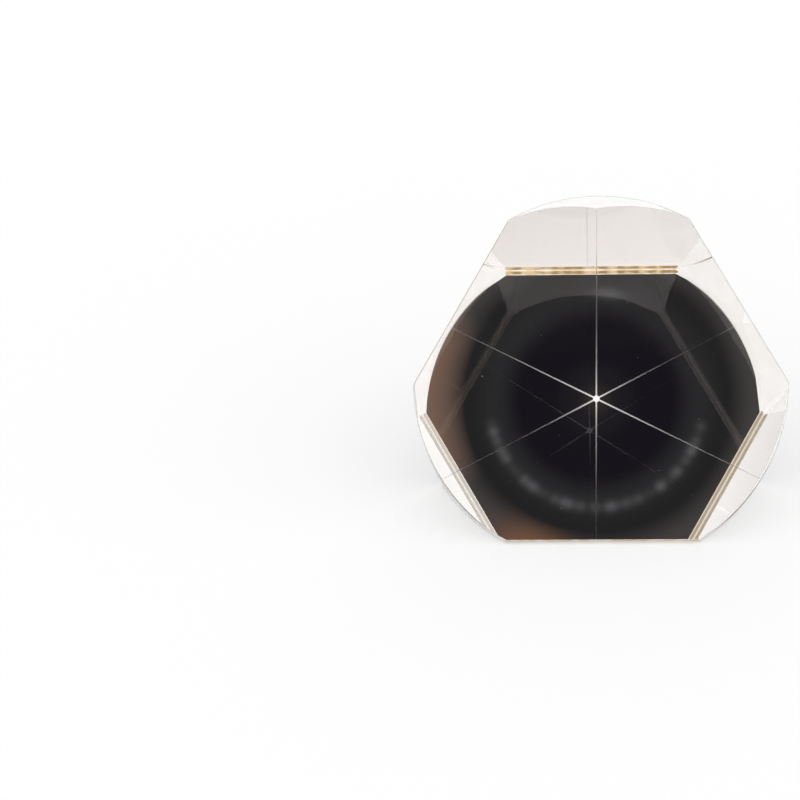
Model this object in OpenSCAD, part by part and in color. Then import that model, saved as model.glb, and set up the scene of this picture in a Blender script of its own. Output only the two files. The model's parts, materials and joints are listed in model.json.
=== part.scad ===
// Corner-cube survey prism: one block of optical glass whose three back faces meet at right
// angles, with silver, copper and black paint on each back face and a paint strip over each of
// the three edges between them. The block stands on its base face with the clear round front
// face turned up and towards -Y.

/* [Glass] */
// Diameter of the round glass blank
glass_d = 64; // [60:0.5:66]
// Depth from the front face to the corner where the three back faces would meet
corner_depth = 39.5; // [39:0.5:44]
// Distance from the optical axis to each of the three ground flats beside the front face
flat_distance = 27.4; // [26:0.1:27.5]

/* [Ground edges] */
// Width of the bevel ground along each edge between two back faces
roof_bevel_w = 0.2; // [0.1:0.05:0.5]
// Width of the bevel ground all round the front face
front_bevel_w = 0.25; // [0.1:0.05:0.8]
// How much of the corner is ground away, along the optical axis
corner_facet_h = 0.5; // [0.4:0.02:1]

/* [Coatings] */
// Thickness of the silver on each back face
silver_t = 0.04; // [0.02:0.01:0.1]
// Thickness of the copper over the silver
copper_t = 0.04; // [0.02:0.01:0.1]
// Thickness of the black paint over the copper
paint_t = 0.12; // [0.05:0.01:0.3]

/* [Rendering] */
// Segments of each circle
$fn = 180; // [48:12:360]

/* [Hidden] */

glass_colour = "azure";
silver_colour = "silver";
copper_colour = "peru";
paint_colour = "dimgray";

glass_r = glass_d / 2;
stack_t = silver_t + copper_t + paint_t;
front_bevel_leg = front_bevel_w / sqrt(2);
roof_bevel_leg = roof_bevel_w / sqrt(2);
edge_paint_leg = roof_bevel_leg - stack_t * sqrt(2);
blank_depth = corner_depth - corner_facet_h;

// Angle between the optical axis and the normal of each back face, and so between the optical
// axis and the floor's normal once the block stands on its base face
corner_tilt = atan(sqrt(2));
// Turns round the optical axis that swing the base face to each face, and the back edge to each
// edge, with left and right as seen from in front
base_face = 0;
left_face = -120;
right_face = 120;
back_edge = 0;
left_edge = 120;
right_edge = -120;
// Edge of the square blocks that the corner and its coatings are cut from
block = 2 * glass_d;

// Where the optical axis meets the front face once the block stands on the floor, with the
// origin under the middle of the whole block
seat_z = corner_depth / sqrt(3) + stack_t;
front_edge_y = -(flat_distance - front_bevel_leg) / sqrt(3);
back_edge_y = corner_depth * sqrt(2 / 3) + stack_t - roof_bevel_w / 2;
seat_y = -(front_edge_y + back_edge_y) / 2;

// Stands a shape made round the optical axis, with the front face at z = 0, on its base face
module seated() {
    translate([0, seat_y, seat_z]) rotate([corner_tilt, 0, 0]) children();
}

// The corner's own axes, one along each edge between two back faces, with its z = 0 plane on the
// base face. The corner lies on the optical axis, corner_depth behind the front face.
module at_corner() {
    translate([0, 0, -corner_depth]) rotate([corner_tilt, 0, 180]) rotate([0, 0, 45]) children();
}

// The round blank with its three flats, from the corner's facet to the front face
module blank() {
    intersection() {
        translate([0, 0, -blank_depth]) cylinder(h = blank_depth, r = glass_r);
        translate([0, 0, -blank_depth]) rotate([0, 0, -30])
            cylinder(h = blank_depth, r = 2 * flat_distance, $fn = 3);
    }
}

// Square bar along X whose corner line is cut back to a bevel as wide as the bar
module bevel_bar(width) {
    rotate([45, 0, 0]) cube([2 * block, width, width], center = true);
}

// Bevel all round the front face: a cone for the arcs and a bar for each flat
module front_bevelled() {
    difference() {
        intersection() {
            children();
            translate([0, 0, -block])
                cylinder(h = block, r1 = glass_r - front_bevel_leg + block, r2 = glass_r - front_bevel_leg);
        }
        for (turn = [base_face, left_face, right_face])
            rotate([0, 0, turn]) translate([0, -flat_distance, 0]) bevel_bar(front_bevel_w);
    }
}

// The clear block, with its edges between back faces bevelled
module prism_glass() {
    color(glass_colour, 0.4) seated() front_bevelled() intersection() {
        blank();
        at_corner() difference() {
            cube(block);
            bevel_bar(roof_bevel_w);
            rotate([0, 0, 90]) bevel_bar(roof_bevel_w);
            rotate([0, 90, 0]) bevel_bar(roof_bevel_w);
        }
    }
}

// One flat layer on a back face, from height low to height low + thickness off the glass, cut
// to the blank's outline and stopping at the bevels. turn swings it from the base face to
// another face.
module face_layer(turn, low, thickness) {
    seated() rotate([0, 0, turn]) intersection() {
        blank();
        at_corner() translate([roof_bevel_leg, roof_bevel_leg, -low - thickness])
            cube([block, block, thickness]);
    }
}

module silver_film(turn) {
    color(silver_colour) face_layer(turn, 0, silver_t);
}

module copper_film(turn) {
    color(copper_colour) face_layer(turn, silver_t, copper_t);
}

module paint_coat(turn) {
    color(paint_colour) face_layer(turn, silver_t + copper_t, paint_t);
}

// Paint strip over a bevel, filling the gap between the layers of the two faces beside it. turn
// swings it from the back edge to another edge.
module edge_paint(turn) {
    section = [
        [roof_bevel_leg, 0],
        [0, roof_bevel_leg],
        [-stack_t, roof_bevel_leg],
        [-stack_t, edge_paint_leg + stack_t],
        [edge_paint_leg + stack_t, -stack_t],
        [roof_bevel_leg, -stack_t]
    ];
    color(paint_colour) seated() rotate([0, 0, turn]) intersection() {
        blank();
        at_corner() linear_extrude(height = block) polygon(section);
    }
}

prism_glass();
silver_film(base_face);  // silver_film_base
silver_film(left_face);  // silver_film_left
silver_film(right_face);  // silver_film_right
copper_film(base_face);  // copper_film_base
copper_film(left_face);  // copper_film_left
copper_film(right_face);  // copper_film_right
paint_coat(base_face);  // paint_coat_base
paint_coat(left_face);  // paint_coat_left
paint_coat(right_face);  // paint_coat_right
edge_paint(back_edge);  // edge_paint_back
edge_paint(left_edge);  // edge_paint_left
edge_paint(right_edge);  // edge_paint_right
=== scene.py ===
import json
import math
import random

import bmesh
import bpy
from mathutils import Matrix, Vector, geometry, noise

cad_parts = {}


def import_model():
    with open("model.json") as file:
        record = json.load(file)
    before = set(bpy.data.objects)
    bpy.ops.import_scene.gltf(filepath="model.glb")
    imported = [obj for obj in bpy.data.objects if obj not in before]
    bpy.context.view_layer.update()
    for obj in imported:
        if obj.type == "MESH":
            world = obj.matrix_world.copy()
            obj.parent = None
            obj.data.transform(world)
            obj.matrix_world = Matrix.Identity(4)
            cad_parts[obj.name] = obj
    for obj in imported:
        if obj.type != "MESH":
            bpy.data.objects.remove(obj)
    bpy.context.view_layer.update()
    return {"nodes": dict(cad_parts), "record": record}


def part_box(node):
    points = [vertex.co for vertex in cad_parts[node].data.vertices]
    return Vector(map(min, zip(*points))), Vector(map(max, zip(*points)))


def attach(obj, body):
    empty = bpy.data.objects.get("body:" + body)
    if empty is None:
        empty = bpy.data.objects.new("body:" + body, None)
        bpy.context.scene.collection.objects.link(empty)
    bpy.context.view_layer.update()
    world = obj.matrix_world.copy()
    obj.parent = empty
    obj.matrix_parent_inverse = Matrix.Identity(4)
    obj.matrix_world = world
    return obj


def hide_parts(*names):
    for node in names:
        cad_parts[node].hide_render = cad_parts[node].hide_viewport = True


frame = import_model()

MM = 0.001

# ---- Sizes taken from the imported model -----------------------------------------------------

MOUNTS = {mount["name"]: mount for mount in frame["record"]["mounts"]}
FRONT_CENTRE = Vector(MOUNTS["front_face"]["pos_m"])
OPTICAL_AXIS = Vector(MOUNTS["front_face"]["axis"]).normalized()
RIM_R = MOUNTS["rim"]["dims"]["r_mm"] * MM
SILVER_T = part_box("silver_film_base")[1].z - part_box("silver_film_base")[0].z
COPPER_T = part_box("copper_film_base")[1].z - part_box("copper_film_base")[0].z
PAINT_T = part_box("paint_coat_base")[1].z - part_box("paint_coat_base")[0].z
STACK_T = SILVER_T + COPPER_T + PAINT_T
CORNER_DEPTH = math.sqrt(3) * (FRONT_CENTRE.z - STACK_T)

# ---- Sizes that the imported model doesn't name ----------------------------------------------

FLAT_DISTANCE = 27.4 * MM
ROOF_BEVEL_W = 0.2 * MM
# The bevels between the back faces narrow from the corner out to the rim
ROOF_BEVEL_INNER_W, ROOF_BEVEL_OUTER_W = 0.28 * MM, 0.08 * MM
FRONT_BEVEL_W = 0.25 * MM
CORNER_FACET_H = 0.5 * MM
ROOF_BEVEL_LEG = ROOF_BEVEL_W / math.sqrt(2)
FRONT_BEVEL_LEG = FRONT_BEVEL_W / math.sqrt(2)
BLANK_DEPTH = CORNER_DEPTH - CORNER_FACET_H
ARC_SEGMENTS = 720
CUT_TOLERANCE = 1e-8
# How far the mesh of the glass is set back from the silver, so that the two don't touch
SILVER_GAP = 0.01 * MM
GLASS_IOR = 1.5168
# Direction of the camera from the middle of the front face, in degrees from the front and up
VIEW_AZIMUTH, VIEW_ELEVATION = -1.834, 27.753
VIEW_DISTANCE = 429.1 * MM

# The optical frame: the front face is at z = 0 facing +z, and the corner is on the axis behind it
TILT = math.acos(OPTICAL_AXIS.z)
SEAT = Matrix.Translation(FRONT_CENTRE) @ Matrix.Rotation(TILT, 4, "X")
CORNER = Vector((0, 0, -CORNER_DEPTH))


def around(angle, z=0.0, r=1.0):
    """The point at an angle in degrees round the optical axis."""
    a = math.radians(angle)
    return Vector((r * math.cos(a), r * math.sin(a), z))


def towards(azimuth, elevation):
    """The direction at an azimuth from the front, to the right, and an elevation, in degrees."""
    a, e = math.radians(azimuth), math.radians(elevation)
    return Vector((math.sin(a) * math.cos(e), -math.cos(a) * math.cos(e), math.sin(e)))


# Directions round the axis in which each back face runs out, and each edge between two of them
FACE_ANGLE = {"base": -90, "left": 150, "right": 30}
EDGE_ANGLE = {"back": 90, "left": 210, "right": -30}
EDGES_OF_FACE = {"base": ("left", "right"), "left": ("back", "left"), "right": ("back", "right")}
FACE_NORMAL = {
    side: around(angle, -1 / math.sqrt(2)).normalized() for side, angle in FACE_ANGLE.items()
}
EDGE_NORMAL = {
    side: around(angle, -math.sqrt(2)).normalized() for side, angle in EDGE_ANGLE.items()
}
EDGE_WAY = {
    side: around(angle, 1 / math.sqrt(2)).normalized() for side, angle in EDGE_ANGLE.items()
}
EDGE_LENGTH = RIM_R / EDGE_WAY["right"].xy.length


# ---- Convex solids cut from a round blank --------------------------------------------------

def round_blank(bevel_leg=0.0):
    """A fine cylinder on the optical axis, with its front rim bevelled."""
    rings = [(-BLANK_DEPTH, RIM_R), (0.0, RIM_R - bevel_leg)]
    if bevel_leg:
        rings.insert(1, (-bevel_leg, RIM_R))
    bm = bmesh.new()
    loops = [
        [bm.verts.new(around(360 * i / ARC_SEGMENTS, z, r)) for i in range(ARC_SEGMENTS)]
        for z, r in rings
    ]
    for low, high in zip(loops, loops[1:]):
        for i in range(ARC_SEGMENTS):
            j = (i + 1) % ARC_SEGMENTS
            bm.faces.new((low[i], low[j], high[j], high[i]))
    bm.faces.new(loops[-1])
    bm.faces.new(reversed(loops[0]))
    bm.normal_update()
    return bm


def cut(bm, normal, point, slot=0):
    """Removes what lies outside a plane and closes the solid there with one face."""
    everything = bm.verts[:] + bm.edges[:] + bm.faces[:]
    done = bmesh.ops.bisect_plane(
        bm, geom=everything, plane_co=point, plane_no=normal, clear_outer=True, dist=CUT_TOLERANCE
    )
    rim = [e for e in done["geom_cut"] if isinstance(e, bmesh.types.BMEdge)]
    if not rim:
        return None
    face = bmesh.ops.contextual_create(bm, geom=rim)["faces"][0]
    face.normal_update()
    if face.normal.dot(normal) < 0:
        face.normal_flip()
    face.material_index = slot
    return face


def cut_flats(bm, slots=(0, 0, 0)):
    for angle, slot in zip(FACE_ANGLE.values(), slots):
        cut(bm, around(angle), around(angle, 0, FLAT_DISTANCE), slot)


def piece_from(bm, name, materials, matrix=SEAT):
    mesh = bpy.data.meshes.new(name)
    bm.transform(matrix)
    bm.to_mesh(mesh)
    bm.free()
    for material in materials:
        mesh.materials.append(material)
    piece = bpy.data.objects.new(name, mesh)
    bpy.context.collection.objects.link(piece)
    return piece


def dress(piece, node):
    """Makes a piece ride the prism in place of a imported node."""
    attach(piece, "root")
    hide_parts(node)
    return piece


def smooth(bm, sharp_angle=30):
    """Smooth shading, broken at edges sharper than an angle in degrees."""
    for face in bm.faces:
        face.smooth = True
    for edge in bm.edges:
        if len(edge.link_faces) == 2 and edge.calc_face_angle(0) > math.radians(sharp_angle):
            edge.smooth = False


# ---- Node trees ----------------------------------------------------------------------------

class Graph:
    """A material's or the world's node tree, with its coordinates in optical millimetres."""

    def __init__(self, owner):
        owner.use_nodes = True
        self.tree = owner.node_tree

    def add(self, kind, inputs=None, **settings):
        node = self.tree.nodes.new("ShaderNode" + kind)
        for key, value in settings.items():
            setattr(node, key, value)
        for key, value in (inputs or {}).items():
            self.feed(node.inputs[key], value)
        return node

    def feed(self, socket, value):
        if isinstance(value, bpy.types.NodeSocket):
            self.tree.links.new(value, socket)
        else:
            socket.default_value = value

    def named(self, name):
        return self.tree.nodes[name]

    def optical(self):
        """The optical frame's coordinates, in millimetres."""
        place = self.add("TexCoord").outputs["Object"]
        turned = {
            "Vector": place, "Location": FRONT_CENTRE, "Rotation": (TILT, 0, 0), "Scale": (MM, MM, MM)
        }
        return self.add("Mapping", turned, vector_type="TEXTURE").outputs["Vector"]

    def stretched(self, vector, factors):
        return self.add("VectorMath", {0: vector, 1: factors}, operation="MULTIPLY").outputs["Vector"]

    def math(self, operation, a, b=0.0, clamp=False):
        return self.add("Math", {0: a, 1: b}, operation=operation, use_clamp=clamp).outputs[0]

    def dot(self, a, b):
        return self.add("VectorMath", {0: a, 1: b}, operation="DOT_PRODUCT").outputs["Value"]

    def noise(self, vector, scale, detail=2.0):
        return self.add("TexNoise", {"Vector": vector, "Scale": scale, "Detail": detail}).outputs["Fac"]

    def span(self, value, low, high, to_low=0.0, to_high=1.0, smooth=False):
        """A value's place between low and high, as a number between to_low and to_high."""
        inputs = {
            "Value": value, "From Min": low, "From Max": high, "To Min": to_low, "To Max": to_high
        }
        kind = "SMOOTHSTEP" if smooth else "LINEAR"
        return self.add("MapRange", inputs, interpolation_type=kind).outputs["Result"]

    def bell(self, value, middle, width):
        """1 where a value is at the middle, falling away to 0 either side."""
        off = self.math("DIVIDE", self.math("SUBTRACT", value, middle), width)
        return self.math("EXPONENT", self.math("MULTIPLY", self.math("MULTIPLY", off, off), -1.0))

    def blend(self, share, a, b):
        """A colour between a and b."""
        inputs = {"Factor": share, "A": a, "B": b}
        node = self.add("Mix", data_type="RGBA")
        sockets = [s for s in node.inputs if s.enabled]
        for key, value in inputs.items():
            self.feed(next(s for s in sockets if s.name == key), rgba(value))
        return next(s for s in node.outputs if s.enabled)

    def bump(self, height, depth, strength=1.0):
        inputs = {"Height": height, "Distance": depth, "Strength": strength}
        return self.add("Bump", inputs).outputs["Normal"]


def rgba(value):
    return (*value, 1.0) if isinstance(value, tuple) and len(value) == 3 else value


def new_material(name):
    material = bpy.data.materials.new(name)
    graph = Graph(material)
    return material, graph, graph.named("Principled BSDF")


# ---- Materials -----------------------------------------------------------------------------

def polished_glass():
    """Clear glass with a scatter of fine dust that breaks the polish."""
    material, g, shader = new_material("polished_glass")
    spots = g.add("TexVoronoi", {"Vector": g.optical(), "Scale": 0.3})
    size = g.math("POWER", g.add("SeparateColor", {0: spots.outputs["Color"]}).outputs[0], 3.0)
    dust = g.math("LESS_THAN", spots.outputs["Distance"], g.math("MULTIPLY", size, 0.035))
    g.feed(shader.inputs["Roughness"], g.math("MULTIPLY", dust, 0.7))
    g.feed(shader.inputs["Normal"], g.bump(dust, 0.01 * MM, 0.3))
    shader.inputs["Base Color"].default_value = (1, 1, 1, 1)
    shader.inputs["IOR"].default_value = GLASS_IOR
    shader.inputs["Transmission Weight"].default_value = 1.0
    return material


# How much of the light a ground surface scatters, and how much of that it sends back
SCATTERED_SHARE, SENT_BACK_SHARE = 0.92, 0.4
# Colour of painted shade: the contact shadow by the floor, painted on the lower front bevel
PAINTED_SHADE_COLOUR = (0.40, 0.36, 0.32)


def ground_glass(name, colour, second=None, along=(0.25, 0.25, 0.25), grain_share=1.0, shaded_low=False):
    """Fine-ground glass. Most light scatters through it or off it, and the rest is refracted.

    Its colour drifts towards the second one along the stretched noise. Where asked, it is painted
    darker towards the bottom of the prism, except beside the base flat: painted shade for the shadow by
    the floor."""
    material, g, shader = new_material(name)
    place = g.optical()
    second = second or tuple(0.97 * c for c in colour)
    drift = g.span(g.noise(g.stretched(place, along), 1.0, 3.0), 0.4, 0.6, smooth=True)
    tint = g.blend(drift, colour, second)
    # Painted shade: darker low down and out to the sides, where the bevel comes near the floor
    if shaded_low:
        parts = g.add("SeparateXYZ", {0: place}).outputs
        low_down = g.span(parts["Y"], -7.0, -25.0, smooth=True)
        out_wide = g.span(g.math("ABSOLUTE", parts["X"]), 18.0, 22.0)
        tint = g.blend(g.math("MULTIPLY", low_down, out_wide), tint, PAINTED_SHADE_COLOUR)
    marks = g.noise(g.stretched(place, (0.6, 0.6, 9.0)), 1.0, 2.0)
    grain = g.noise(place, 14.0, 3.0)
    height = g.math("ADD", grain, g.math("MULTIPLY", marks, 0.6))
    normal = g.bump(height, 0.006 * grain_share * MM)
    g.feed(shader.inputs["Base Color"], tint)
    g.feed(shader.inputs["Roughness"], g.span(grain, 0.3, 0.7, 0.5, 0.7))
    g.feed(shader.inputs["Normal"], normal)
    shader.inputs["IOR"].default_value = GLASS_IOR
    shader.inputs["Transmission Weight"].default_value = 1.0
    through = g.add("BsdfTranslucent", {"Color": tint, "Normal": normal})
    back = g.add("BsdfDiffuse", {"Color": tint, "Normal": normal})
    scatter = g.add("MixShader", {0: SENT_BACK_SHARE, 1: through.outputs[0], 2: back.outputs[0]})
    mix = g.add("MixShader", {0: SCATTERED_SHARE, 1: shader.outputs[0], 2: scatter.outputs[0]})
    g.feed(g.named("Material Output").inputs["Surface"], mix.outputs[0])
    return material


def silver_mirror():
    """Silver seen through the polished back of the glass."""
    material, g, shader = new_material("silver_mirror")
    drift = g.noise(g.optical(), 0.08, 2.0)
    g.feed(shader.inputs["Base Color"], g.blend(drift, (0.976, 0.964, 0.957), (0.985, 0.976, 0.970)))
    shader.inputs["Metallic"].default_value = 1.0
    shader.inputs["Roughness"].default_value = 0.0
    return material


def ground_silver(name, fade):
    """Silver on a ground bevel between back faces: painted white by the corner, fading to bare metal
    further out, a painted highlight.

    fade is how far from the axis, in millimetres, the white has mostly gone."""
    material, g, shader = new_material(name)
    place = g.optical()
    grain = g.noise(place, 5.0, 2.0)
    sideways = g.stretched(place, (1, 1, 0))
    off_axis = g.add("VectorMath", {0: sideways}, operation="LENGTH").outputs["Value"]
    # Painted highlight: the bevel is white near the axis and turns to plain metal further out
    white = g.math("EXPONENT", g.math("DIVIDE", off_axis, -fade))
    g.feed(shader.inputs["Metallic"], g.math("SUBTRACT", 1.0, white))
    g.feed(shader.inputs["Base Color"], g.blend(grain, (0.98, 0.965, 0.94), (1.0, 0.99, 0.97)))
    g.feed(shader.inputs["Roughness"], g.span(grain, 0.3, 0.7, 0.17, 0.20))
    g.feed(shader.inputs["Normal"], g.bump(grain, 0.0008 * MM))
    shader.inputs["Specular IOR Level"].default_value = 0.0
    return material


def silver_film():
    """The edge and outside of the silver, slightly tarnished."""
    material, g, shader = new_material("silver_film")
    cloud = g.noise(g.optical(), 0.6, 4.0)
    g.feed(shader.inputs["Base Color"], g.blend(cloud, (0.93, 0.91, 0.87), (0.78, 0.73, 0.64)))
    g.feed(shader.inputs["Roughness"], g.span(cloud, 0.3, 0.7, 0.12, 0.3))
    g.feed(shader.inputs["Normal"], g.bump(g.noise(g.optical(), 12.0), 0.004 * MM))
    shader.inputs["Metallic"].default_value = 1.0
    return material


def copper():
    material, g, shader = new_material("copper")
    cloud = g.noise(g.optical(), 0.5, 5.0)
    g.feed(shader.inputs["Base Color"], g.blend(cloud, (0.78, 0.42, 0.25), (0.5, 0.24, 0.15)))
    g.feed(shader.inputs["Roughness"], g.span(cloud, 0.3, 0.7, 0.35, 0.6))
    g.feed(shader.inputs["Normal"], g.bump(g.noise(g.optical(), 9.0, 4.0), 0.01 * MM))
    shader.inputs["Metallic"].default_value = 1.0
    return material


def black_paint(name, roughness, peel):
    """Sprayed black paint: cloudy gloss, fine orange peel, hairline scratches and pale dust."""
    material, g, shader = new_material(name)
    place = g.optical()
    cloud = g.noise(place, 0.13, 4.0)
    grain = g.noise(place, 6.0, 3.0)
    base = g.blend(cloud, (0.0095, 0.0092, 0.0110), (0.0150, 0.0144, 0.0165))
    spots = g.add("TexVoronoi", {"Vector": place, "Scale": 0.55})
    size = g.math("POWER", g.add("SeparateColor", {0: spots.outputs["Color"]}).outputs[1], 4.0)
    dust = g.math("LESS_THAN", spots.outputs["Distance"], g.math("MULTIPLY", size, 0.05))
    rub = g.noise(g.stretched(place, (0.12, 2.4, 0.5)), 1.0, 5.0)
    hair = g.bell(rub, 0.52, 0.004)
    marked = g.blend(g.math("MULTIPLY", hair, 0.25), base, (0.07, 0.07, 0.075))
    dusty = g.blend(g.math("MULTIPLY", dust, 0.6), marked, (0.32, 0.31, 0.3))
    g.feed(shader.inputs["Base Color"], dusty)
    cloudy = g.span(cloud, 0.3, 0.7, roughness - 0.05, roughness + 0.07)
    worn = g.math("ADD", cloudy, g.math("MULTIPLY", grain, 0.06))
    g.feed(shader.inputs["Roughness"], g.math("SUBTRACT", worn, g.math("MULTIPLY", hair, 0.1)))
    height = g.math("ADD", g.noise(place, 1.6, 2.0), g.math("MULTIPLY", grain, 0.12))
    g.feed(shader.inputs["Normal"], g.bump(height, peel))
    return material


WHITE_GROUND = (0.972, 0.968, 0.955)
GROUND_RIM = ground_glass("ground_rim", WHITE_GROUND)
GLASS_FRONT = polished_glass()
# The base flat is blotched and grainy, the other two are even, with no grain
BLOTCHED, EVEN = (0.5, 0.1, 0.8), (0.1, 0.1, 0.5)
# The three flats are one ground glass with a real warm tint; the different brightness and tint of each
# are painted light and shade for how it is lit
GROUND_FLATS = {
    "base": ground_glass("ground_flat_base", (0.78, 0.59, 0.35), (0.39, 0.26, 0.12), BLOTCHED),
    "left": ground_glass("ground_flat_left", (0.40, 0.345, 0.255), (0.43, 0.375, 0.30), EVEN, 0.0),
    "right": ground_glass("ground_flat_right", (0.62, 0.575, 0.51), (0.58, 0.54, 0.485), EVEN, 0.0),
}
# The front bevel is painted with shade low down, beside the floor
GROUND_BEVEL = ground_glass("ground_bevel", WHITE_GROUND, grain_share=0.3, shaded_low=True)
# The front bevels of the flats share a real warm tint; their different colours are painted light and
# shade for how each is lit
GROUND_BEVELS = {
    "base": ground_glass("ground_bevel_base", (1.0, 0.92, 0.78), (0.86, 0.70, 0.46), (0.45, 0.1, 0.1)),
    "left": ground_glass("ground_bevel_left", (0.80, 0.73, 0.59), grain_share=0.3),
    "right": ground_glass("ground_bevel_right", (0.86, 0.84, 0.79), grain_share=0.3),
}
CORNER_FACET = ground_glass("ground_corner", (1.0, 0.99, 0.975))
MIRROR = silver_mirror()
# Millimetres from the axis over which each bevel's painted white fades: a painted highlight, spread
# wider on the right bevel
ROOF_BEVELS = {
    "back": ground_silver("ground_silver_back", 5.5),
    "left": ground_silver("ground_silver_left", 5.5),
    "right": ground_silver("ground_silver_right", 13.0),
}
SILVER = silver_film()
COPPER = copper()
PAINT = black_paint("black_paint", 0.36, 0.08 * MM)
EDGE_PAINT = black_paint("edge_paint", 0.20, 0.02 * MM)


# ---- The glass block -----------------------------------------------------------------------

# Small chips at the front corners of the flats: the angle round the axis and the depth in mm
CHIPS = [(180.6, 0.24), (119.6, 0.13), (62.0, 0.19), (238.2, 0.16), (301.6, 0.11)]
# Degrees that a chip's plane is turned for each mm of its depth, and how steep it is
CHIP_TURN, CHIP_SLOPE = 20, 0.75


def glass_block():
    """The block's visible surfaces, with the silver seen through the glass on its back faces."""
    slots = [GROUND_RIM, GLASS_FRONT, GROUND_BEVEL, CORNER_FACET, MIRROR]
    rim, front, bevel, facet, mirror = range(len(slots))
    groups = []
    for group in (GROUND_FLATS, GROUND_BEVELS, ROOF_BEVELS):
        groups.append(range(len(slots), len(slots) + len(group)))
        slots += group.values()
    flats, bevels, roofs = groups
    bm = round_blank(FRONT_BEVEL_LEG)
    for face in bm.faces:
        if face.normal.z > 0.99:
            face.material_index = front
        elif face.normal.z > 0.1:
            face.material_index = bevel
        elif face.normal.z < -0.99:
            face.material_index = facet
        else:
            face.material_index = rim
    cut_flats(bm, flats)
    for angle, slot in zip(FACE_ANGLE.values(), bevels):
        slope = (around(angle) + Vector((0, 0, 1))).normalized()
        cut(bm, slope, around(angle, 0, FLAT_DISTANCE - FRONT_BEVEL_LEG), slot)
    for angle, depth in CHIPS:
        slope = around(angle + depth * CHIP_TURN, CHIP_SLOPE).normalized()
        reach = max(v.co.dot(slope) for v in bm.verts)
        cut(bm, slope, (reach - depth * MM) * slope, bevel)
    for normal in FACE_NORMAL.values():
        cut(bm, normal, CORNER - SILVER_GAP * normal, mirror)
    slope = (ROOF_BEVEL_INNER_W - ROOF_BEVEL_OUTER_W) / 2 / EDGE_LENGTH
    for (side, normal), slot in zip(EDGE_NORMAL.items(), roofs):
        depth = ROOF_BEVEL_INNER_W / 2 + SILVER_GAP
        cut(bm, normal - slope * EDGE_WAY[side], CORNER - depth * normal, slot)
    piece = piece_from(bm, "glass_block", slots)
    return dress(piece, "prism_glass")


# ---- Paint ---------------------------------------------------------------------------------

def plate(side, low, high):
    """A layer on a back face, between two heights off the glass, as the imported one."""
    bm = round_blank()
    cut_flats(bm)
    normal = FACE_NORMAL[side]
    cut(bm, -normal, CORNER + low * normal)
    for edge in EDGES_OF_FACE[side]:
        inward = -(EDGE_NORMAL[edge] - EDGE_NORMAL[edge].dot(normal) * normal).normalized()
        cut(bm, -inward, CORNER + ROOF_BEVEL_LEG * inward)
    return bm, cut(bm, normal, CORNER + high * normal)


def nibs(count, reach, seed):
    """Dust caught in the paint: middles within reach of the face's middle, radii and heights."""
    draw = random.Random(seed)
    found = []
    for _ in range(count):
        at = Vector((draw.uniform(-reach, reach), draw.uniform(-reach, reach)))
        r = draw.uniform(0.05, 0.13) * MM
        found.append((at, r, draw.uniform(0.15, 0.3) * r))
    return found


def paint_coat(side, seed, raised):
    """A coat of paint with rounded edges, a slightly uneven surface and nibs of dust in it."""
    bm, outer = plate(side, SILVER_T + COPPER_T, STACK_T)
    border = list(outer.edges)
    bmesh.ops.bevel(bm, geom=border, offset=0.05 * MM, segments=3, profile=0.5, affect="EDGES")
    bm.faces.ensure_lookup_table()
    normal = FACE_NORMAL[side]
    outer = max(bm.faces, key=lambda f: f.calc_area() * f.normal.dot(normal))
    across = around(FACE_ANGLE[side] + 90)
    up = across.cross(normal)
    middle = outer.calc_center_median()
    rim = list(outer.verts)
    flat = [Vector(((v.co - middle).dot(across), (v.co - middle).dot(up))) / MM for v in rim]
    # The surface's points in mm: how far apart, how clear of the border and how far out, and
    # the step between rows as a share of the spacing
    spacing, edge_gap, reach, row_step = 0.9, 0.6, 36.0, 0.866
    draw = random.Random(seed)
    dust = nibs(46, 32 * MM, seed) if raised else []
    sides = list(zip(flat, flat[1:] + flat[:1]))
    inside = []

    def offer(point):
        """Keeps a point that lies inside the outline and clear of it."""
        off = min(abs((b - a).cross(point - a)) / max((b - a).length, 1e-9) for a, b in sides)
        turn = sum((b - a).cross(point - a) > 0 for a, b in sides)
        if off > edge_gap and turn in (0, len(flat)):
            inside.append(point)

    ring_points = 7
    for at, r, _ in dust:
        offer(at / MM)
        for ring in (0.5, 1.0, 1.5):
            for i in range(ring_points):
                a = 2 * math.pi * (i + ring) / ring_points
                offer(at / MM + ring * r / MM * Vector((math.cos(a), math.sin(a))))
    steps = int(reach / spacing)
    for i in range(-steps, steps + 1):
        for j in range(-steps, steps + 1):
            jitter = Vector((draw.uniform(-0.2, 0.2), draw.uniform(-0.2, 0.2)))
            point = spacing * Vector((i + 0.5 * (j % 2), j * row_step)) + jitter
            if all((point - at / MM).length > 3 * r / MM + 0.15 for at, r, _ in dust):
                offer(point)
    loop = [(i, (i + 1) % len(flat)) for i in range(len(flat))]
    points, _, triangles, origin, _, _ = geometry.delaunay_2d_cdt(flat + inside, loop, [], 1, 1e-6)
    bm.faces.remove(outer)
    verts = []
    for point, sources in zip(points, origin):
        old = next((s for s in sources if s < len(rim)), None)
        if old is not None:
            verts.append(rim[old])
            continue
        place = middle + MM * (point.x * across + point.y * up)
        rise = 0.009 * noise.noise(place / (9 * MM)) + 0.004 * noise.noise(place / (2.2 * MM))
        height = rise * MM if raised else -abs(rise) * MM
        for at, r, tall in dust:
            near = (point * MM - at).length / (1.5 * r)
            if near < 1:
                height += tall * (1 - near * near) ** 2
        verts.append(bm.verts.new(place + height * normal))
    for triangle in triangles:
        face = bm.faces.new([verts[i] for i in triangle])
        face.normal_update()
        if face.normal.dot(normal) < 0:
            face.normal_flip()
    bm.normal_update()
    smooth(bm, 40)
    node = "paint_coat_" + side
    return dress(piece_from(bm, node + "_sprayed", [PAINT]), node)


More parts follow.
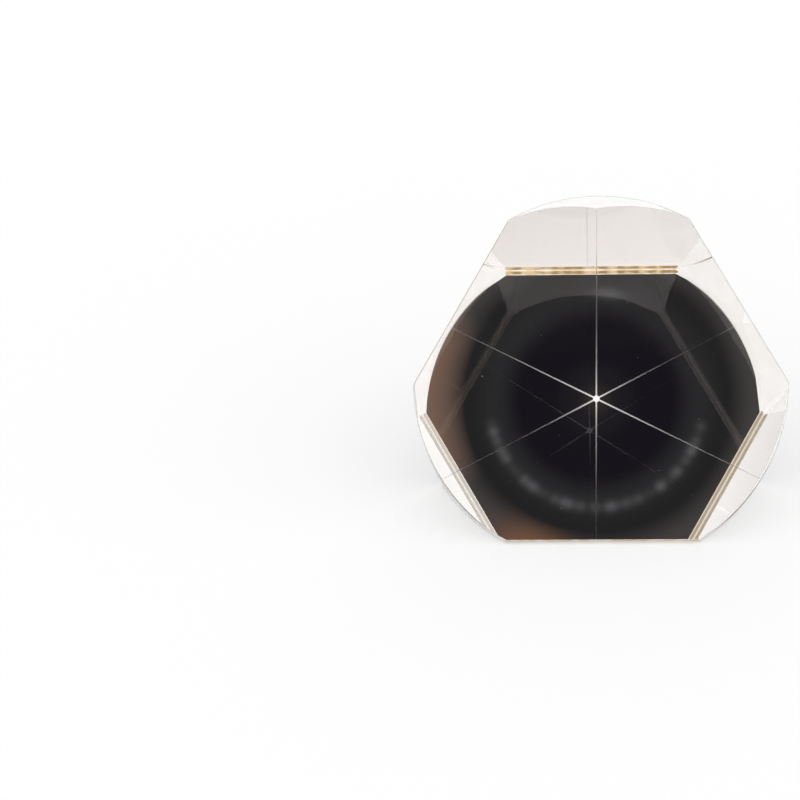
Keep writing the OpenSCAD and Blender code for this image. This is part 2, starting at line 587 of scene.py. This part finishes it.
def edge_strip(side, seed, bare):
    """A bead of paint along a bevelled edge, a little wavy, that leaves its rim end bare."""
    out, way = EDGE_NORMAL[side], EDGE_WAY[side]
    across = way.cross(out)
    top = STACK_T - ROOF_BEVEL_W / 2
    half = (ROOF_BEVEL_LEG + STACK_T) / math.sqrt(2)
    crown, shoulder = 0.008 * MM, 0.055 * MM
    profile = [(-half, -top), (-half, 0.2 * top), (-half + 0.3 * shoulder, 0.55 * top)]
    profile += [(-half + shoulder, 0.9 * top), (-0.4 * half, top + 0.6 * crown), (0, top + crown)]
    profile += [(-x, y) for x, y in reversed(profile[:-1])]
    profile += [(ROOF_BEVEL_W / 2, 0), (-ROOF_BEVEL_W / 2, 0)]
    length = EDGE_LENGTH + 1 * MM
    stations = 160
    bm = bmesh.new()
    rings = []
    for i in range(stations + 1):
        s = length * i / stations
        wave = noise.noise(Vector((s / (2.6 * MM), seed, 0)))
        swell = noise.noise(Vector((s / (1.1 * MM), seed, 7)))
        shift = 0.016 * MM * wave
        rise = 0.010 * MM * swell
        narrowing = (ROOF_BEVEL_INNER_W - ROOF_BEVEL_OUTER_W) * s / EDGE_LENGTH
        underside = -(ROOF_BEVEL_INNER_W - narrowing) / 2
        ring = []
        for x, y in profile:
            free = 1.0 if y > 0.5 * top else 0.0
            out_by = underside if y == 0 else y + free * rise
            ring.append(bm.verts.new(CORNER + s * way + (x + free * shift) * across + out_by * out))
        rings.append(ring)
    for low_ring, high_ring in zip(rings, rings[1:]):
        for i in range(len(profile)):
            j = (i + 1) % len(profile)
            bm.faces.new((low_ring[i], low_ring[j], high_ring[j], high_ring[i]))
    bm.faces.new(rings[0])
    bm.faces.new(reversed(rings[-1]))
    bmesh.ops.recalc_face_normals(bm, faces=bm.faces[:])
    cut(bm, around(EDGE_ANGLE[side]), around(EDGE_ANGLE[side], 0, RIM_R - bare))
    cut(bm, Vector((0, 0, -1)), Vector((0, 0, -BLANK_DEPTH)))
    smooth(bm, 50)
    node = "edge_paint_" + side
    return dress(piece_from(bm, node + "_bead", [EDGE_PAINT]), node)


def dress_films():
    """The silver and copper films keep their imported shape."""
    for side in FACE_ANGLE:
        for start, material in (("silver_film_", SILVER), ("copper_film_", COPPER)):
            mesh = frame["nodes"][start + side].data
            mesh.materials.clear()
            mesh.materials.append(material)


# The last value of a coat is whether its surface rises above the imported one, and that of a
# strip is how much of its rim end is bare
glass_block()
dress_films()
paint_coat("base", 11, raised=False)
paint_coat("left", 12, raised=True)
paint_coat("right", 13, raised=True)
edge_strip("back", 1.5, 0.12 * MM)
edge_strip("left", 2.5, 0.45 * MM)
edge_strip("right", 3.5, 0.2 * MM)


# ---- Studio --------------------------------------------------------------------------------

# The floor is a light table. Every ray but the camera's own finds it brighter behind and under
# the prism than towards the front, and a little dimmer on the left. The camera sees it plain
# and nearly white, with the prism's soft shadow.
GLOW_NEAR, GLOW_MIDDLE, GLOW_FRONT = 1.42, 1.02, 0.95
LEFT_GLOW_SHARE = 0.88
FLOOR_R = 4.0
PLAIN_GLOW = 0.42
# Brightness of the white surroundings as lighting, and as polished surfaces show them
SKY = 1.5
LOW_SKY_IN_MIRRORS, HIGH_SKY_IN_MIRRORS = (0.62, 0.62, 0.64), (1.5, 1.49, 1.47)


def floor():
    bm = bmesh.new()
    bmesh.ops.create_circle(bm, cap_ends=True, radius=FLOOR_R, segments=96)
    piece = piece_from(bm, "studio_floor", [], Matrix.Translation((0, 0, -0.02 * MM)))
    material, g, shader = new_material("pale_floor")
    place = g.add("TexCoord").outputs["Object"]
    across, ahead, _ = g.add("SeparateXYZ", {0: place}).outputs
    front = g.span(ahead, -0.55, -0.24, GLOW_FRONT, GLOW_MIDDLE)
    near = g.span(ahead, -0.24, -0.12, 0.0, GLOW_NEAR - GLOW_MIDDLE)
    side = g.span(across, -0.06, 0.06, LEFT_GLOW_SHARE, 1.0)
    glow = g.add("Emission", {"Strength": g.math("MULTIPLY", side, g.math("ADD", front, near))})
    cloud = g.noise(place, 3.0)
    g.feed(shader.inputs["Base Color"], g.blend(cloud, (0.384, 0.384, 0.384), (0.388, 0.388, 0.388)))
    shader.inputs["Emission Color"].default_value = (1, 1, 1, 1)
    shader.inputs["Emission Strength"].default_value = PLAIN_GLOW
    shader.inputs["Roughness"].default_value = 0.9
    shader.inputs["Specular IOR Level"].default_value = 0.0
    direct = g.add("LightPath").outputs["Is Camera Ray"]
    mix = g.add("MixShader", {0: direct, 1: glow.outputs[0], 2: shader.outputs[0]})
    g.feed(g.named("Material Output").inputs["Surface"], mix.outputs[0])
    piece.data.materials.append(material)


# What the mirrors show the camera of its own side, by millimetres from the corner's image: soft
# dark rings. They stand in for whatever is behind a camera, and show in reflections only.
SEEN_BACK = [
    (0.0, (0.036, 0.029, 0.026)), (4.0, (0.014, 0.013, 0.017)),
    (8.0, (0.009, 0.008, 0.012)), (12.5, (0.009, 0.008, 0.012)),
    (17.5, (0.025, 0.025, 0.027)), (22.0, (0.018, 0.018, 0.019)),
    (27.0, (0.060, 0.057, 0.056)), (34.0, (0.030, 0.030, 0.030)), (48.0, (0.012, 0.012, 0.013)),
]
# Faint arcs of lamps on those rings: radius and width, how bright they are, and their colour
LOW_ARC_R, HIGH_BAR_R, RING_W = 18.3, 18.2, 0.9
RING_GLOW, RING_COLOUR = 0.075, (0.9, 0.95, 1.0)
# Faint warm patches at the left and the bottom of what is shown
WARM_LEFT, WARM_LOW = (0.20, 0.125, 0.09), (0.24, 0.115, 0.06)
# Degrees from the camera's direction at which the dark side starts to fade, and has faded
DARK_SIDE_INNER, DARK_SIDE_OUTER = 56, 72


def camera_place():
    return FRONT_CENTRE + VIEW_DISTANCE * towards(VIEW_AZIMUTH, VIEW_ELEVATION)


def corner_image():
    """Where the camera sees the corner, on the front face."""
    away = SEAT.inverted() @ camera_place()
    inside = math.asin(away.xy.length / away.length / GLASS_IOR)
    offset = CORNER_DEPTH * math.tan(inside) * away.xy.normalized()
    return SEAT @ Vector((*offset, 0))


def world():
    """White all round, with a soft dark side behind the camera that only reflections show.

    x, y and r place a direction on the front face, in millimetres from the corner's image."""
    world = bpy.data.worlds.new("studio")
    bpy.context.scene.world = world
    g = Graph(world)
    way = g.add("TexCoord").outputs["Generated"]
    back = (camera_place() - corner_image()).normalized()
    right = back.cross(Vector((0, 0, 1))).normalized() * -1
    up = back.cross(right)
    x = g.math("MULTIPLY", g.dot(way, right), -VIEW_DISTANCE / MM)
    y = g.math("MULTIPLY", g.dot(way, up), -VIEW_DISTANCE / MM)
    r = g.math("SQRT", g.math("ADD", g.math("MULTIPLY", x, x), g.math("MULTIPLY", y, y)))
    seen = g.add("ValToRGB", {"Fac": g.math("DIVIDE", r, SEEN_BACK[-1][0])})
    ramp = seen.color_ramp
    ramp.interpolation = "EASE"
    for place, colour in SEEN_BACK[1:-1]:
        ramp.elements.new(place / SEEN_BACK[-1][0]).color = rgba(colour)
    ramp.elements[0].color = rgba(SEEN_BACK[0][1])
    ramp.elements[-1].color = rgba(SEEN_BACK[-1][1])
    angle = g.math("DEGREES", g.math("ARCTAN2", y, x))
    uneven = g.noise(g.add("CombineXYZ", {"X": angle}).outputs[0], 0.09, 1.0)
    lamps = g.span(uneven, 0.42, 0.62, 0.25, 1.0)
    below = g.span(g.math("DIVIDE", y, r), -0.3, -0.15, 1.0, 0.0)
    low_arc = g.math("MULTIPLY", g.bell(r, LOW_ARC_R, RING_W), below)
    high_bar = g.math("MULTIPLY", g.bell(r, HIGH_BAR_R, RING_W), g.bell(angle, 84.0, 9.0))
    ring = g.math("ADD", g.math("MULTIPLY", low_arc, lamps), g.math("MULTIPLY", high_bar, 0.8))
    glow = g.blend(g.math("MULTIPLY", ring, RING_GLOW), seen.outputs["Color"], RING_COLOUR)
    near = g.math("MULTIPLY", g.span(r, 22.5, 28.0), g.span(r, 34.0, 44.0, 1.0, 0.0))
    left = g.math("MULTIPLY", g.span(g.math("DIVIDE", x, r), -0.8, -0.95, smooth=True), near)
    glow = g.blend(left, glow, WARM_LEFT)
    low = g.math("MULTIPLY", g.bell(angle, -112.0, 13.0), near)
    glow = g.blend(low, glow, WARM_LOW)
    towards_camera = g.dot(way, back)
    faded, whole = (math.cos(math.radians(a)) for a in (DARK_SIDE_OUTER, DARK_SIDE_INNER))
    cap = g.span(towards_camera, faded, whole, smooth=True)
    height = g.add("SeparateXYZ", {0: way}).outputs["Z"]
    soft = g.blend(g.span(height, 0.0, 0.9, smooth=True), LOW_SKY_IN_MIRRORS, HIGH_SKY_IN_MIRRORS)
    reflected = g.blend(cap, soft, glow)
    path = g.add("LightPath")
    scattered = g.math("ADD", path.outputs["Is Diffuse Ray"], path.outputs["Diffuse Depth"])
    plain = g.math("ADD", path.outputs["Is Camera Ray"], scattered, clamp=True)
    background = g.named("Background")
    g.feed(background.inputs["Color"], g.blend(plain, reflected, (SKY, SKY, SKY)))
    background.inputs["Strength"].default_value = 1.0
    world.cycles.sampling_method = "NONE"


def camera():
    """The photograph's viewing angle, with the prism right of the middle of the frame."""
    roll = Matrix.Rotation(math.radians(-1.975), 4, "Z")
    aim_left, aim_down = 34.19 * MM, 3.2 * MM
    aim = SEAT @ Vector((-aim_left, -aim_down, 0))
    data = bpy.data.cameras.new("camera")
    data.sensor_width = 36
    data.lens = 112.9
    cam = bpy.data.objects.new("camera", data)
    bpy.context.collection.objects.link(cam)
    cam.location = camera_place()
    look = (aim - cam.location).to_track_quat("-Z", "Y").to_matrix().to_4x4()
    cam.matrix_world = Matrix.Translation(cam.location) @ look @ roll
    bpy.context.scene.camera = cam


floor()
world()
camera()
scene = bpy.context.scene
scene.view_settings.view_transform = "Standard"
# Enough bounces for light to go in, off three mirrors, round between them and out again
scene.cycles.max_bounces = 40
scene.cycles.glossy_bounces = 40
scene.cycles.transmission_bounces = 40
scene.cycles.diffuse_bounces = 8
scene.cycles.use_denoising = True
